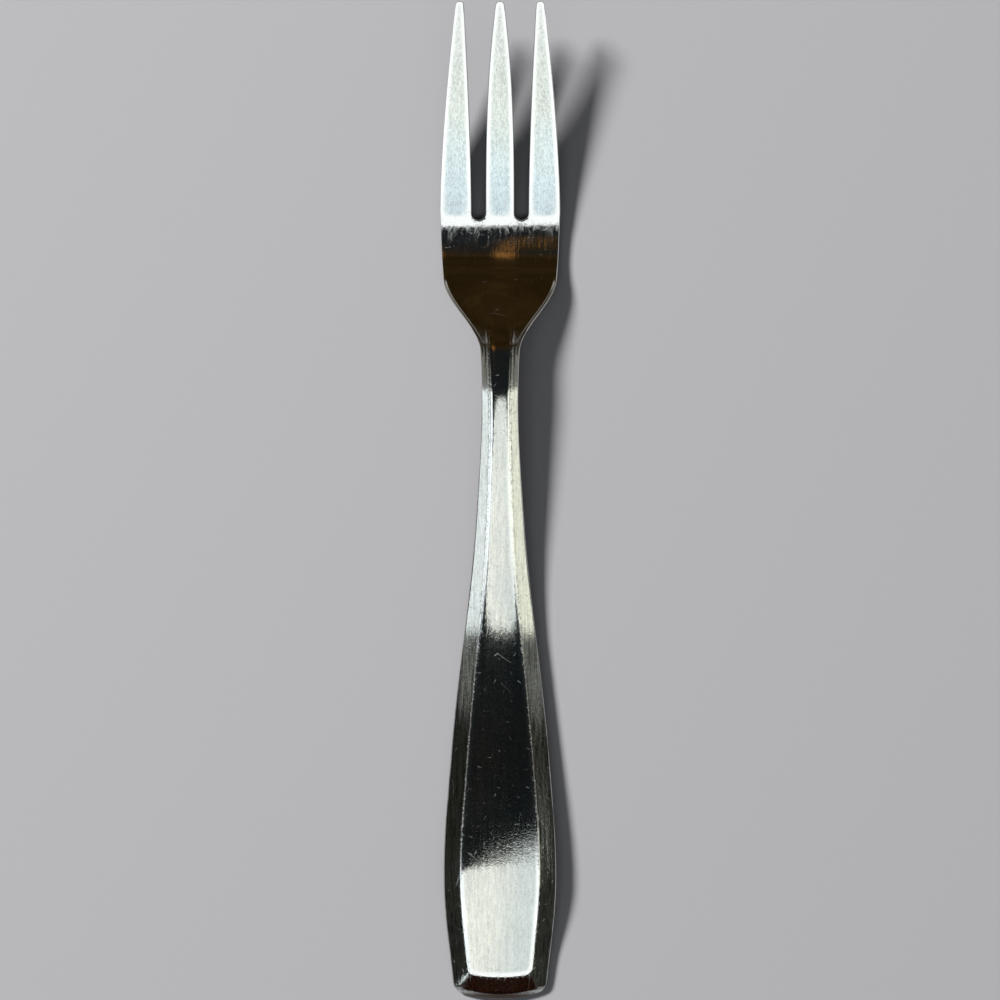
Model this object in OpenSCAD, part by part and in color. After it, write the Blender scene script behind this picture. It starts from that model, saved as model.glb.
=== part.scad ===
// Three-tine salad fork, pressed from one blank of stainless steel and polished.
// It lies face up on a table: X runs across it, Y from the handle to the tips, and Z up.
// The origin is on the table, below the middle of its length.
// A "station" is a distance in millimetres from the end of the handle towards the tips.

/* [Lengths] */
// Length from the end of the handle to the tips
fork_length = 156; // [150:0.5:170]
// Length of the tines, from the tips to the roots of the slots
tine_length = 34; // [28:0.5:38]
// Length of the palm, from the roots of the slots to the heel
palm_length = 9.4; // [8:0.1:12]
// Length of the shoulders, from the heel to the throat
shoulder_length = 11.2; // [9:0.1:13]
// Length of the neck, from the throat to its narrowest place
neck_length = 7.4; // [5:0.1:10]

/* [Head] */
// Width across the roots of the outer tines
head_width = 18.9; // [17:0.1:22]
// Width at the heel, where the shoulders begin
heel_width = 17.8; // [15:0.1:20]
// Width of the middle tine at its root
tine_width = 4.5; // [4:0.1:5.5]
// Width of each slot at its root
slot_width = 2.2; // [1.8:0.1:2.8]
// Distance between neighbouring tips
tip_pitch = 6.3; // [5.6:0.1:7]
// Width of each tip
tip_width = 1.3; // [0.8:0.1:1.6]
// How late the sides of the middle tine close in: 1 is a straight taper
middle_taper = 2.75; // [1.5:0.05:3.5]
// How late the sides of the outer tines close in
outer_taper = 1.6; // [1:0.05:2.5]

/* [Handle outline] */
// Width at the throat, between the shoulders and the neck
throat_width = 6.2; // [6.1:0.1:8]
// Width at the narrowest place of the neck
neck_width = 5.75; // [4.75:0.05:6]
// Width where the handle begins to swell
swell_width = 7.6; // [6.5:0.1:10]
// Station where that width is
swell_station = 75; // [60:0.5:80]
// Width low on the handle
grip_width = 15.5; // [12:0.1:16.5]
// Station where that width is
grip_station = 37.5; // [32:0.5:45]
// Greatest width of the handle
handle_width = 17.65; // [17:0.05:20]
// Station where that width is
widest_station = 19.5; // [14:0.5:24]
// Width across the corners of the end
end_width = 14.5; // [12:0.1:16]
// How far the middle of the end stands out past its corners
end_bulge = 1.3; // [0.4:0.1:2]
// Radius of the two corners of the end, seen from above
corner_radius = 1.5; // [0.8:0.1:2]

/* [Panel and border] */
// Width of the bevelled border beside the panel on the handle
border_width = 2.8; // [2:0.1:3.4]
// Width of that border on the neck
neck_border_width = 1.4; // [1:0.1:1.8]
// Length of the border across the end of the handle
end_border = 3.7; // [3.2:0.1:4.5]
// Width of the rounded step at the edge of the panel
step_width = 0.5; // [0.3:0.05:0.8]
// Drop of that step, besides the start of the bevel
step_drop = 0.05; // [0.02:0.01:0.15]
// Slope of the bevel from the step down to the outline, on the handle
bevel_angle = 17; // [10:0.5:20]
// Slope of that bevel on the neck
neck_bevel_angle = 11; // [6:0.5:14]
// How far the middle of the panel stands above its edges, like a pillow
panel_crown = 0.1; // [0.02:0.01:0.2]
// How square the corners of the panel are: a high number is a sharp corner
panel_squareness = 6; // [3:0.5:12]

/* [Thickness] */
// Thickness of the tips
tip_thickness = 1; // [0.8:0.05:1.4]
// Thickness of the palm
palm_thickness = 1.7; // [1.4:0.05:2.2]
// Thickness of the neck
neck_thickness = 2.7; // [2.3:0.05:3.4]
// Thickness of the handle at its widest place
handle_thickness = 2.3; // [1.8:0.05:2.8]
// Thickness of the handle at its end
end_thickness = 1.9; // [1.6:0.05:2.4]
// Width of the gentle rounding along the sides, the slots and the tips
edge_round = 0.9; // [0.5:0.05:1.1]
// Share of the thickness that is left where that rounding meets the side wall
edge_share = 0.97; // [0.85:0.01:0.99]
// Width of the wall itself, seen from above
wall_width = 0.12; // [0.08:0.01:0.2]
// Width of the rounding across the end of the handle
end_round = 1.1; // [0.5:0.05:1.3]

/* [Side view] */
// Height of the tips' underside above the table
tip_lift = 8.6; // [5:0.1:14]
// How round the bend is from the belly into the tines: a small number is a sharp bend
belly_bend = 0.3; // [0.15:0.05:0.8]
// Distance from the roots of the slots back to the lowest place of the head
belly_setback = 5; // [3:0.1:7]
// Height of the neck's underside above the table, at the top of its arch
arch_lift = 3.4; // [2:0.1:7]
// Distance from the heel back to the top of that arch
arch_setback = 11; // [9.5:0.1:15]
// Height of the handle's underside where it sags lowest
sag_lift = 0.2; // [0.1:0.05:0.5]
// Station of that sag
sag_station = 55; // [48:0.5:62]
// Height of the handle's underside where it bows up, above the end
bow_lift = 1.3; // [0.3:0.05:1.6]
// Station of that bow
bow_station = 21; // [18:0.5:28]
// Length of the flat under the end of the handle, which lies on the table
rest_length = 6; // [4:0.5:9]

/* [Hidden] */

// Stations of the head and the neck, worked out from the tips backwards
root = fork_length - tine_length;
heel = root - palm_length;
throat = heel - shoulder_length;
narrow = throat - neck_length;
belly = root - belly_setback;
arch = heel - arch_setback;

// The round root of each slot: its radius, its distance from the middle, and its centre's station
slot_radius = slot_width / 2;
slot_offset = tine_width / 2 + slot_radius;
slot_centre = root + slot_radius;
tip_radius = tip_width / 2;

// A smooth curve through knots, each [station, value].
// It is level at turning points and never overshoots a knot.
function rise(knots, i) = (knots[i + 1][1] - knots[i][1]) / (knots[i + 1][0] - knots[i][0]);
function slope(knots, i) =
    i == 0 ? rise(knots, 0)
    : i == len(knots) - 1 ? rise(knots, i - 1)
    : rise(knots, i - 1) * rise(knots, i) <= 0 ? 0
    : 2 / (1 / rise(knots, i - 1) + 1 / rise(knots, i));
function between(knots, i, s) =
    let (
        span = knots[i + 1][0] - knots[i][0],
        u = (s - knots[i][0]) / span,
        low = knots[i][1],
        high = knots[i + 1][1]
    )
    low + (high - low) * u * u * (3 - 2 * u)
        + span * u * (1 - u) * (slope(knots, i) * (1 - u) - slope(knots, i + 1) * u);
function along(knots, s, i = 0) =
    i < len(knots) - 2 && s > knots[i + 1][0] ? along(knots, s, i + 1) : between(knots, i, s);

// How far station s lies along the tines: 0 at the slots' centres and 1 at the tips
function tine_share(s) = max(0, (s - slot_centre) / (fork_length - slot_centre));

// Lets the three tips end in half circles, and the end of the handle in round corners
function tip_closing(s) =
    let (past = s - (fork_length - tip_radius))
    past <= 0 ? 1 : sqrt(max(0, 1 - pow(past / tip_radius, 2)));
function corner_cut(s) =
    s >= corner_radius ? 0 : corner_radius - sqrt(pow(corner_radius, 2) - pow(corner_radius - s, 2));

// Half the outline's width at station s, with the outer tines' outer edges as its sides
outline = [
    [0, end_width / 2],
    [widest_station, handle_width / 2],
    [grip_station, grip_width / 2],
    [swell_station, swell_width / 2],
    [narrow, neck_width / 2],
    [throat, throat_width / 2],
    [heel, heel_width / 2],
    [slot_centre, head_width / 2]
];
function half_width(s) = along(outline, min(s, slot_centre)) - corner_cut(s);

// Half the panel's width on the handle, which becomes half the middle tine's width on the head.
// The last knot lets the sides of the tines leave the round roots of the slots without a corner.
border = [[0, border_width], [grip_station, border_width], [narrow, neck_border_width]];
panel_head = [
    [narrow, neck_width / 2 - neck_border_width],
    [throat, throat_width / 2 - neck_border_width],
    [slot_centre, tine_width / 2],
    [fork_length, tine_width / 2]
];
function panel_half(s) =
    s <= narrow ? along(outline, s) - along(border, s) : along(panel_head, min(s, slot_centre));

// Width of the step beside the panel, which widens into the slot on the head
step_lane = [[0, step_width], [throat, step_width], [slot_centre, slot_width], [fork_length, slot_width]];

// The edges of the five lanes at station s, from left to right: an outer tine, a slot, the middle tine,
// a slot and an outer tine. On the handle the same lanes are a bevel, a step, the panel, a step and a bevel.
function lane_edges(s) =
    let (
        v = tine_share(s),
        closing = tip_closing(s),
        inner = panel_half(s),
        outer = inner + along(step_lane, min(s, slot_centre)),
        tip_side = pow(v, outer_taper),
        middle = (inner - (inner - tip_radius) * pow(v, middle_taper)) * closing,
        near = outer + (tip_pitch - tip_radius - outer) * tip_side,
        far = half_width(s) + (tip_pitch + tip_radius - half_width(s)) * tip_side,
        centre = (near + far) / 2,
        half = (far - near) / 2 * closing
    )
    [-centre - half, half - centre, -middle, middle, centre - half, centre + half];

// Columns of the surface, each [lane, place in the lane].
// A tine lane has rounded sides, and a slot lane only its inside.
round_steps = 3;
tine_places = 2 * round_steps + 2;
slot_places = 4;
columns = [
    for (lane = [0:4]) for (k = lane % 2 == 0 ? [0:tine_places] : [1:slot_places - 1]) [lane, k]
];

function column_x(s, column) =
    let (
        edges = lane_edges(s),
        low = edges[column[0]],
        high = edges[column[0] + 1],
        k = column[1],
        rim = min(edge_round, (high - low) / 2),
        inset = function(n) rim * (1 - cos(90 * n / round_steps))
    )
    column[0] % 2 == 1 ? (low + high) / 2 - (high - low) / 2 * cos(180 * k / slot_places)
    : k <= round_steps ? low + inset(k)
    : k >= tine_places - round_steps ? high - inset(tine_places - k)
    : (low + high) / 2;

// Rows of the surface, as stations from the end of the handle to the tips
function spread(from, to, count) = [for (i = [1:count]) from + (to - from) * i / count];
end_step = end_border * step_width / border_width;
corner_steps = 4;
bevel_rows = 2;
step_rows = 3;
panel_rows = 13;
waist_rows = 14;
shoulder_rows = 13;
palm_rows = 9;
tine_rows = 17;
// The rounding of a tip stops just short of a quarter turn, so that its last row has some width
tip_steps = 4;
tip_turn = 80;
rows = concat(
    [for (k = [0:corner_steps]) corner_radius * (1 - cos(90 * k / corner_steps))],
    spread(corner_radius, end_border - end_step, bevel_rows),
    spread(end_border - end_step, end_border, step_rows),
    spread(end_border, grip_station, panel_rows),
    spread(grip_station, narrow, waist_rows),
    spread(narrow, heel, shoulder_rows),
    spread(heel, slot_centre - edge_round, palm_rows),
    [for (k = [round_steps - 1:-1:0]) slot_centre - edge_round * (1 - cos(90 * k / round_steps))],
    spread(slot_centre, fork_length - tip_radius, tine_rows),
    [for (k = [1:tip_steps]) fork_length - tip_radius * (1 - sin(tip_turn * k / tip_steps))]
);
last_row = len(rows) - 1;
root_row = [for (r = [0:last_row]) if (rows[r] >= slot_centre - 0.001) r][0];

// Station of a point of the surface. Rows follow the bulge of the end, and the round roots of the slots.
bulge_reach = 12;
function bulge(s, x) =
    s >= bulge_reach ? 0 : end_bulge * (1 - s / bulge_reach) * pow(2 * x / end_width, 2);
function station(s, x, lane) =
    lane % 2 == 0 || s <= heel ? s + bulge(s, x)
    : let (depth = sqrt(max(0, pow(slot_radius, 2) - pow(abs(x) - slot_offset, 2))))
      heel + (s - heel) * (slot_centre - depth - heel) / (slot_centre - heel);

// How full the section is at a point, from 0 on an edge to 1 past the rounding. An edge has a steep wall and
// then a gentle rounding, and the end of the handle is rounded all the way.
function quarter(u) = u >= 1 ? 1 : sqrt(1 - pow(1 - max(0, u), 2));
function fullness(inset, reach) =
    quarter(inset / wall_width) * (1 - (1 - edge_share) * pow(1 - min(1, max(0, inset) / reach), 2));
function edge_fullness(s, x, y, lane) =
    let (
        edges = lane_edges(s),
        on_tine = s >= slot_centre,
        low = on_tine ? edges[lane] : edges[0],
        high = on_tine ? edges[lane + 1] : edges[5],
        to_side = min(x - low, high - x),
        to_slot = norm([abs(x) - slot_offset, y - slot_centre]) - slot_radius,
        side = fullness(to_side, min(edge_round, max(0.01, (high - low) / 2))),
        slot = on_tine ? 1 : fullness(to_slot, edge_round),
        end = min(quarter(s / end_round), fullness(fork_length - s, edge_round))
    )
    min(side, slot, end);

// Drop of the top below the middle of the panel: the panel's crown, a rounded step, and the bevel that starts
// in the step and runs down to the outline. All three fade out on the shoulders.
crown_drops = [[0, panel_crown], [narrow, panel_crown], [heel, 0]];
step_drops = [[0, step_drop], [narrow, step_drop], [heel, 0]];
bevel_angles = [
    [0, bevel_angle],
    [grip_station, bevel_angle],
    [sag_station, neck_bevel_angle],
    [narrow, neck_bevel_angle],
    [heel, 0]
];
pillow_power = 4;
function ease(u) = u <= 0 ? 0 : u >= 1 ? 1 : u * u * (3 - 2 * u);
function onset(u) = u >= 1 ? u - 0.5 : u * u / 2;
function top_drop(s, x) =
    s >= heel ? 0
    : let (
        edges = lane_edges(s),
        border_here = along(outline, s) - edges[3],
        step_share = (edges[4] - edges[3]) / border_here,
        beside = max(0, abs(x) - edges[3]) / border_here,
        below = max(0, 1 - s / end_border),
        out = min(1, pow(pow(beside, panel_squareness) + pow(below, panel_squareness), 1 / panel_squareness))
    )
    along(crown_drops, s) * pow(min(1, abs(x) / edges[3]), pillow_power)
        + along(step_drops, s) * ease(out / step_share)
        + tan(along(bevel_angles, s)) * border_here * step_share * onset(out / step_share);

// Side view: the height of the underside above the table, and the thickness
undersides = [
    [0, 0],
    [rest_length, 0],
    [bow_station, bow_lift],
    [sag_station, sag_lift],
    [arch, arch_lift],
    [belly, 0],
    [fork_length, tip_lift]
];
function bend(v) = sqrt(v * v + belly_bend * belly_bend) - belly_bend;
function underside(y) =
    y <= belly ? along(undersides, y) : tip_lift * bend((y - belly) / (fork_length - belly)) / bend(1);
thicknesses = [
    [0, end_thickness],
    [widest_station, handle_thickness],
    [sag_station, handle_thickness],
    [narrow, neck_thickness],
    [heel, palm_thickness],
    [root, palm_thickness],
    [fork_length, tip_thickness]
];

// The point of the surface at a row and column: side is 1 on top and -1 underneath. Both meet on the edges.
function surface_point(r, c, side) =
    let (
        s = rows[r],
        lane = columns[c][0],
        x = column_x(s, columns[c]),
        y = station(s, x, lane),
        low = underside(y),
        high = low + along(thicknesses, y) - top_drop(s, x),
        half = on_edge(r, c) ? 0 : (high - low) / 2 * edge_fullness(s, x, y, lane)
    )
    [x, y - fork_length / 2, (low + high) / 2 + side * half];

function on_edge(r, c) =
    r == 0 || r == last_row || c == 0 || c == len(columns) - 1
    || (r == root_row && columns[c][0] % 2 == 1)
    || (r >= root_row && (columns[c][1] == 0 || columns[c][1] == tine_places));

// Index of a point in the polyhedron: the points underneath follow those on top, and the edge is shared
function index(r, c, side) =
    r * len(columns) + c + (side > 0 || on_edge(r, c) ? 0 : len(rows) * len(columns));

// Whether the patch between columns c and c + 1, above row r, is steel and not the air in a slot
function is_steel(r, c) =
    r < root_row || (columns[c][0] == columns[c + 1][0] && columns[c][0] % 2 == 0);

// Two triangles of a patch. Its diagonal is mirrored about the middle, and never joins two edges of the fork.
function patch(r, c, side) =
    let (
        corners = [[r, c], [r + 1, c], [r + 1, c + 1], [r, c + 1]],
        edge = [for (p = corners) on_edge(p[0], p[1])],
        i = [for (p = corners) index(p[0], p[1], side)],
        rising = c < len(columns) / 2 - 1,
        up_on_edge = edge[0] && edge[2] && (edge[1] || edge[3]),
        down_on_edge = edge[1] && edge[3] && (edge[0] || edge[2]),
        cut = rising ? !up_on_edge : down_on_edge,
        halves = cut
            ? [[i[0], i[1], i[2]], [i[0], i[2], i[3]]]
            : [[i[0], i[1], i[3]], [i[1], i[2], i[3]]]
    )
    [for (t = halves) side > 0 ? t : [t[0], t[2], t[1]]];

module fork() {
    points = [
        for (side = [1, -1]) for (r = [0:last_row]) for (c = [0:len(columns) - 1])
            surface_point(r, c, side)
    ];
    faces = [
        for (side = [1, -1]) for (r = [0:last_row - 1]) for (c = [0:len(columns) - 2])
            if (is_steel(r, c)) for (triangle = patch(r, c, side)) triangle
    ];
    color("gainsboro") polyhedron(points, faces, convexity = 6);
}

fork();
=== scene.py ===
import math
import bmesh
import bpy
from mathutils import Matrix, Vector


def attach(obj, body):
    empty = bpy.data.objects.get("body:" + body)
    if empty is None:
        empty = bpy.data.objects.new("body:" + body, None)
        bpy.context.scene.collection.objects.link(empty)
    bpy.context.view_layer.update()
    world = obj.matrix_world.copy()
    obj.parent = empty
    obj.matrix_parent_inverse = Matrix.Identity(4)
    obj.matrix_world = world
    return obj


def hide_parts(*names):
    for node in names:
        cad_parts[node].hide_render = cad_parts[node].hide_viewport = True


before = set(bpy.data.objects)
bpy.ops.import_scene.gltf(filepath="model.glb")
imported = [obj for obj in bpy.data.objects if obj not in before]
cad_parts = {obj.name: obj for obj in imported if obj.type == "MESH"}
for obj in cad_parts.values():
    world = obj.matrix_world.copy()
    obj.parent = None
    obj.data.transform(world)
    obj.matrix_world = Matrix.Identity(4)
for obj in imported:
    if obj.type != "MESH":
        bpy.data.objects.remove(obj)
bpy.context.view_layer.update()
scene = bpy.context.scene
mm = 0.001
print("frame loaded")

# Fork: one pressed blank. All sizes in mm, stations run from the handle's end to the tips.
fork = {
    "length": 156.0, "tine": 34.0, "palm": 9.4, "shoulder": 11.2, "neck": 7.4,
    "headWidth": 18.9, "heelWidth": 17.8, "tineWidth": 4.5, "slotWidth": 2.2,
    "tipPitch": 6.3, "tipWidth": 1.3, "middleTaper": 2.75, "outerTaper": 1.6,
    "throatWidth": 6.2, "neckWidth": 5.75, "swellWidth": 7.6, "swellAt": 75.0,
    "gripWidth": 15.5, "gripAt": 37.5, "handleWidth": 17.65, "widestAt": 19.5,
    "endWidth": 14.5, "endBulge": 1.3, "bulgeReach": 12.0, "cornerRadius": 1.5,
    "border": 2.8, "neckBorder": 1.4, "endBorder": 3.7, "stepWidth": 0.5,
    "stepDrop": 0.05, "bevelAngle": 17.0, "neckBevelAngle": 11.0,
    "crown": 0.1, "pillow": 4.0, "squareness": 4.0, "panelCorner": 1.2,
    "tipThick": 0.97, "palmThick": 1.7, "neckThick": 2.7, "handleThick": 2.3, "endThick": 1.9,
    "edgeRound": 0.9, "edgeShare": 0.98, "wallWidth": 0.06, "rimSpread": 2.5, "endRound": 1.1,
    "tipLift": 8.6, "bellyBend": 0.3, "bellySetback": 5.0, "archLift": 3.4, "archSetback": 11.0,
    "sagLift": 0.2, "sagAt": 55.0, "bowLift": 1.3, "bowAt": 21.0, "rest": 6.0,
    "roundSteps": 6, "flatSteps": 8, "slotSteps": 8, "rimShare": 0.4,  # mesh across the fork
    # rows of the mesh along the fork
    "cornerRows": 12, "endRows": 8, "stepRows": 10, "panelRows": 10, "gripRows": 54, "shaftRows": 84,
    "neckRows": 48, "palmRows": 32, "tineRows": 76, "tipRows": 8, "tipTurn": 80.0,
    "snug": 0.99999,  # keeps the mesh just inside the solid's box
    "leastRound": 0.01, "weld": 0.0001,
    "deepInside": 9, "farAway": 99,  # for distances that do not count
}
rootAt = fork["length"] - fork["tine"]
heelAt = rootAt - fork["palm"]
throatAt = heelAt - fork["shoulder"]
narrowAt = throatAt - fork["neck"]
bellyAt = rootAt - fork["bellySetback"]
archAt = heelAt - fork["archSetback"]
slotRadius = fork["slotWidth"] / 2
slotOffset = fork["tineWidth"] / 2 + slotRadius
slotCentre = rootAt + slotRadius
tipRadius = fork["tipWidth"] / 2


# A smooth curve through (station, value) knots, level where it turns
def rise(knots, i):
    return (knots[i + 1][1] - knots[i][1]) / (knots[i + 1][0] - knots[i][0])


def slopeAt(knots, i):
    if i == 0:
        return rise(knots, 0)
    if i == len(knots) - 1:
        return rise(knots, i - 1)
    before, after = rise(knots, i - 1), rise(knots, i)
    return 0 if before * after <= 0 else 2 / (1 / before + 1 / after)


def curveAt(knots, s):
    i = 0
    while i < len(knots) - 2 and s > knots[i + 1][0]:
        i += 1
    span = knots[i + 1][0] - knots[i][0]
    u = (s - knots[i][0]) / span
    low, high = knots[i][1], knots[i + 1][1]
    bow = slopeAt(knots, i) * (1 - u) - slopeAt(knots, i + 1) * u
    return low + (high - low) * u * u * (3 - 2 * u) + span * u * (1 - u) * bow


outline = [
    (0, fork["endWidth"] / 2), (fork["widestAt"], fork["handleWidth"] / 2),
    (fork["gripAt"], fork["gripWidth"] / 2), (fork["swellAt"], fork["swellWidth"] / 2),
    (narrowAt, fork["neckWidth"] / 2), (throatAt, fork["throatWidth"] / 2), (heelAt, fork["heelWidth"] / 2),
    (slotCentre, fork["headWidth"] / 2),
]
border = [(0, fork["border"]), (fork["gripAt"], fork["border"]), (narrowAt, fork["neckBorder"])]
panelHead = [
    (narrowAt, fork["neckWidth"] / 2 - fork["neckBorder"]),
    (throatAt, fork["throatWidth"] / 2 - fork["neckBorder"]),
    (slotCentre, fork["tineWidth"] / 2), (fork["length"], fork["tineWidth"] / 2),
]
stepLane = [(0, fork["stepWidth"]), (throatAt, fork["stepWidth"]), (slotCentre, fork["slotWidth"]),
            (fork["length"], fork["slotWidth"])]
crownDrops = [(0, fork["crown"]), (narrowAt, fork["crown"]), (heelAt, 0)]
stepDrops = [(0, fork["stepDrop"]), (narrowAt, fork["stepDrop"]), (heelAt, 0)]
bevelAngles = [
    (0, fork["bevelAngle"]), (fork["gripAt"], fork["bevelAngle"]), (fork["sagAt"], fork["neckBevelAngle"]),
    (narrowAt, fork["neckBevelAngle"]), (heelAt, 0),
]
undersides = [
    (0, 0), (fork["rest"], 0), (fork["bowAt"], fork["bowLift"]), (fork["sagAt"], fork["sagLift"]),
    (archAt, fork["archLift"]), (bellyAt, 0), (fork["length"], fork["tipLift"]),
]
thicknesses = [
    (0, fork["endThick"]), (fork["widestAt"], fork["handleThick"]), (fork["sagAt"], fork["handleThick"]),
    (narrowAt, fork["neckThick"]), (heelAt, fork["palmThick"]), (rootAt, fork["palmThick"]),
    (fork["length"], fork["tipThick"]),
]


# Edges of the five lanes: tine, slot, tine, slot, tine. On the handle: bevel, step, panel, step, bevel.
def laneEdges(s):
    onHead = min(s, slotCentre)
    share = max(0, (s - slotCentre) / (fork["length"] - slotCentre))
    past = s - (fork["length"] - tipRadius)
    closing = 1 if past <= 0 else math.sqrt(max(0, 1 - (past / tipRadius) ** 2))
    radius = fork["cornerRadius"]
    cut = 0 if s >= radius else radius - math.sqrt(radius ** 2 - (radius - s) ** 2)
    side = curveAt(outline, onHead) - cut
    inner = curveAt(outline, s) - curveAt(border, s) if s <= narrowAt else curveAt(panelHead, onHead)
    outer = inner + curveAt(stepLane, onHead)
    middle = (inner - (inner - tipRadius) * share ** fork["middleTaper"]) * closing
    near = outer + (fork["tipPitch"] - tipRadius - outer) * share ** fork["outerTaper"]
    far = side + (fork["tipPitch"] + tipRadius - side) * share ** fork["outerTaper"]
    centre, half = (near + far) / 2, (far - near) / 2 * closing
    return [-centre - half, half - centre, -middle, middle, centre - half, centre + half]


tinePlaces = 2 * fork["roundSteps"] + fork["flatSteps"]
columns = [(lane, k) for lane in range(5) for k in
           (range(tinePlaces + 1) if lane % 2 == 0 else range(1, fork["slotSteps"]))]


# Columns crowd at the rim, where the wall is
def rimStep(k):
    return (k / fork["roundSteps"]) ** fork["rimSpread"]


def columnX(edges, lane, k):
    low, high = edges[lane], edges[lane + 1]
    if lane % 2:
        return (low + high) / 2 - (high - low) / 2 * math.cos(math.pi * k / fork["slotSteps"])
    rim = min(fork["edgeRound"], (high - low) * fork["rimShare"])
    steps = fork["roundSteps"]
    if k <= steps:
        return low + rim * rimStep(k)
    if k >= tinePlaces - steps:
        return high - rim * rimStep(tinePlaces - k)
    return low + rim + (high - low - 2 * rim) * (k - steps) / fork["flatSteps"]


def spread(start, stop, count):
    return [start + (stop - start) * i / count for i in range(1, count + 1)]


endStep = fork["endBorder"] * fork["stepWidth"] / fork["border"]
panelStart = fork["endBorder"] + fork["panelCorner"]
tipTurn = math.radians(fork["tipTurn"])
cornerRows = range(fork["cornerRows"] + 1)
rows = [fork["cornerRadius"] * (1 - math.cos(math.pi / 2 * k / fork["cornerRows"])) for k in cornerRows]
rows += spread(fork["cornerRadius"], fork["endBorder"] - endStep, fork["endRows"])
rows += spread(fork["endBorder"] - endStep, fork["endBorder"], fork["stepRows"])
rows += spread(fork["endBorder"], panelStart, fork["panelRows"])
rows += spread(panelStart, fork["gripAt"], fork["gripRows"])
rows += spread(fork["gripAt"], narrowAt, fork["shaftRows"])
rows += spread(narrowAt, heelAt, fork["neckRows"])
rows += spread(heelAt, slotCentre - fork["edgeRound"], fork["palmRows"])
rows += [slotCentre - fork["edgeRound"] * rimStep(k) for k in range(fork["roundSteps"] - 1, -1, -1)]
rootRow = len(rows) - 1
rows += spread(slotCentre, fork["length"] - tipRadius, fork["tineRows"])
rows += [fork["length"] - tipRadius * (1 - math.sin(tipTurn * k / fork["tipRows"]))
         for k in range(1, fork["tipRows"] + 1)]
lastRow = len(rows) - 1


def onEdge(r, c):
    lane, k = columns[c]
    if r in (0, lastRow) or c in (0, len(columns) - 1):
        return True
    return (r == rootRow and lane % 2 == 1) or (r >= rootRow and k in (0, tinePlaces))


def stationAt(s, x, lane):
    if lane % 2 == 0 or s <= heelAt:
        reach = max(0, 1 - s / fork["bulgeReach"])
        return s + fork["endBulge"] * reach * (2 * x / fork["endWidth"]) ** 2
    depth = math.sqrt(max(0, slotRadius ** 2 - (abs(x) - slotOffset) ** 2))
    return heelAt + (s - heelAt) * (slotCentre - depth - heelAt) / (slotCentre - heelAt)


def quarter(u):
    return 1 if u >= 1 else math.sqrt(1 - (1 - max(0, u)) ** 2)


# Edges have a steep wall and then a gentle rounding
def fullness(inset, reach):
    gentle = 1 - min(1, max(0, inset) / reach)
    return quarter(inset / fork["wallWidth"]) * (1 - (1 - fork["edgeShare"]) * gentle ** 2)


# Distance in from the nearest rim, and how full the section is there
def rimAt(s, x, y, lane, edges):
    onTine = s >= slotCentre
    low, high = (edges[lane], edges[lane + 1]) if onTine else (edges[0], edges[5])
    toSide = min(x - low, high - x)
    toSlot = fork["farAway"] if onTine else math.hypot(abs(x) - slotOffset, y - slotCentre) - slotRadius
    toTip = fork["length"] - s
    full = min(
        fullness(toSide, min(fork["edgeRound"], max(fork["leastRound"], (high - low) / 2))),
        fullness(toSlot, fork["edgeRound"]), fullness(toTip, fork["edgeRound"]),
        quarter(s / fork["endRound"]))
    return min(toSide, toSlot, s, toTip), full


def ease(u):
    u = min(1, max(0, u))
    return u * u * (3 - 2 * u)


# How far out on the border a point is, as a share of it: 0 on the ridge, 1 on the outline.
# The ridge has round corners at the handle's end, and the bevels meet there in a mitre.
def outOnBorder(beside, below, corner):
    power = fork["squareness"]
    reach = max(0, beside + corner) ** power + max(0, below + corner) ** power
    return max(0, reach ** (1 / power) - corner)


# Drop of the face below the middle of the panel, and the distance out from the ridge
def faceDrop(s, x, edges):
    if s >= heelAt:
        return 0, -1
    here = curveAt(outline, s) - edges[3]
    stepShare = (edges[4] - edges[3]) / here
    out = outOnBorder((abs(x) - edges[3]) / here, 1 - s / fork["endBorder"], fork["panelCorner"] / here)
    u = out / stepShare
    drop = curveAt(crownDrops, s) * min(1, abs(x) / edges[3]) ** fork["pillow"]
    drop += curveAt(stepDrops, s) * ease(u)
    fall = math.tan(math.radians(curveAt(bevelAngles, s)))
    drop += fall * here * stepShare * (u - 0.5 if u >= 1 else u * u / 2)
    return drop, out * here


# How deep a point lies inside the panel's edge, in mm: below 0 on the border, faded out on the shoulders
def panelDepth(s, x, edges, fromRidge):
    if s >= heelAt:
        return fork["deepInside"]
    corner = fork["panelCorner"]
    beside, below = edges[3] - abs(x), s - fork["endBorder"]
    depth = -fromRidge
    if fromRidge <= 0:
        depth = corner - math.hypot(max(0, corner - beside), max(0, corner - below))
    return depth + fork["deepInside"] * ease((s - throatAt) / (heelAt - throatAt))


def bend(v):
    return math.sqrt(v * v + fork["bellyBend"] ** 2) - fork["bellyBend"]


def undersideAt(y):
    if y <= bellyAt:
        return curveAt(undersides, y)
    return fork["tipLift"] * bend((y - bellyAt) / (fork["length"] - bellyAt)) / bend(1)


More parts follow.
